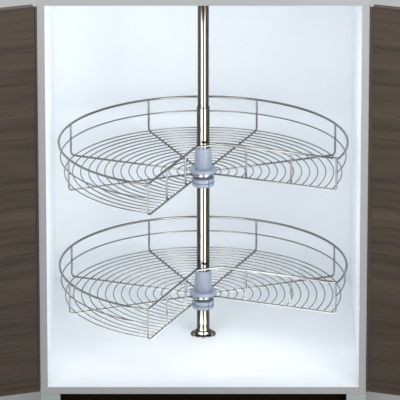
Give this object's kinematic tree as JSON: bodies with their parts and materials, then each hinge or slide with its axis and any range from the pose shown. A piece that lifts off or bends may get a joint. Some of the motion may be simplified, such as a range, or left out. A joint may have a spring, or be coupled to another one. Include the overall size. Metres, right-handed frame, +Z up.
{
  "type": "corner carousel cabinet",
  "caption": "Kitchen corner cabinet with two doors and two three-quarter wire carousel trays that turn on a telescopic pole.",
  "frame": {"origin": "centre of the middle foot's sole, on the floor and on the pole's axis", "axes": "+Z up, -Y out of the open front, +X to the right seen from the front"},
  "size_m": [1.574, 0.9386, 1.1163],
  "materials": {
    "white_board": "white melamine face",
    "grey_edge": "light grey edging",
    "dark_wood": "dark grey-brown wood grain",
    "dark_board": "matt near-black brown",
    "grey_foot": "pale greenish grey",
    "hub_plastic": "satin pale blue-grey",
    "bearing_plastic": "matt grey",
    "chrome_wire": "bright plated wire",
    "nickel_pole": "warm bright nickel",
    "steel": "plain steel",
    "dark_steel": "dark bronze",
    "rubber": "matt rubber"
  },
  "bodies": {
    "cabinet": {"side_panel_left": "white_board", "side_panel_right": "white_board", "bottom_panel": "white_board", "top_panel": "white_board", "back_panel": "white_board", "edge_band_left": "grey_edge", "edge_band_right": "grey_edge", "edge_band_bottom": "grey_edge", "edge_band_top": "grey_edge", "foot_front_left": "grey_foot", "foot_front_right": "grey_foot", "foot_rear_left": "grey_foot", "foot_rear_right": "grey_foot", "foot_centre": "grey_foot", "plinth_board": "dark_board", "plinth_clip_left": "steel", "plinth_clip_right": "steel", "pole_base_flange": "nickel_pole", "pole_top_flange": "nickel_pole", "pole_lower_tube": "nickel_pole", "base_flange_screw_1": "steel", "top_flange_screw_1": "steel", "base_flange_screw_2": "steel", "top_flange_screw_2": "steel", "base_flange_screw_3": "steel", "top_flange_screw_3": "steel", "pole_lock_screw": "steel", "left_hinge_carcass_leaf": "dark_steel", "left_hinge_pin": "dark_steel", "right_hinge_carcass_leaf": "dark_steel", "right_hinge_pin": "dark_steel"},
    "left_door": {"left_door_panel": "dark_wood", "left_door_knob": "steel", "left_door_bumper": "rubber", "left_hinge_door_leaf": "dark_steel"},
    "right_door": {"right_door_panel": "dark_wood", "right_door_knob": "steel", "right_door_bumper": "rubber", "right_hinge_door_leaf": "dark_steel"},
    "pole_extension": {"pole_upper_tube": "nickel_pole"},
    "lower_tray_support": {"lower_tray_collar": "hub_plastic", "lower_tray_clamp_screw": "steel", "lower_tray_bearing": "bearing_plastic"},
    "lower_tray": {"lower_tray_rim": "chrome_wire", "lower_tray_front_rail": "chrome_wire", "lower_tray_middle_ring": "chrome_wire", "lower_tray_floor": "chrome_wire", "lower_tray_hub_ring": "chrome_wire", "lower_tray_hub": "hub_plastic"},
    "upper_tray_support": {"upper_tray_collar": "hub_plastic", "upper_tray_clamp_screw": "steel", "upper_tray_bearing": "bearing_plastic"},
    "upper_tray": {"upper_tray_rim": "chrome_wire", "upper_tray_front_rail": "chrome_wire", "upper_tray_middle_ring": "chrome_wire", "upper_tray_floor": "chrome_wire", "upper_tray_hub_ring": "chrome_wire", "upper_tray_hub": "hub_plastic"}
  },
  "joints": [
    {"name": "left_door_hinge", "type": "hinge", "parent": "cabinet", "child": "left_door", "pos_m": [-0.403, -0.3755, 0.6], "axis": [0, 0, -1], "range_deg": [-160, 15]},
    {"name": "right_door_hinge", "type": "hinge", "parent": "cabinet", "child": "right_door", "pos_m": [0.403, -0.3755, 0.6], "axis": [0, 0, 1], "range_deg": [-160, 15]},
    {"name": "pole_extension_slide", "type": "slide", "parent": "cabinet", "child": "pole_extension", "axis": [0, 0, 1], "range_m": [-0.08, 0]},
    {"name": "lower_tray_height", "type": "slide", "parent": "cabinet", "child": "lower_tray_support", "axis": [0, 0, 1], "range_m": [-0.03, 0.06]},
    {"name": "upper_tray_height", "type": "slide", "parent": "cabinet", "child": "upper_tray_support", "axis": [0, 0, 1], "range_m": [-0.06, 0.06]},
    {"name": "lower_tray_spin", "type": "hinge", "parent": "lower_tray_support", "child": "lower_tray", "pos_m": [0, 0, 0.2233], "axis": [0, 0, 1], "continuous": true},
    {"name": "upper_tray_spin", "type": "hinge", "parent": "upper_tray_support", "child": "upper_tray", "pos_m": [0, 0, 0.5483], "axis": [0, 0, 1], "continuous": true}
  ]
}
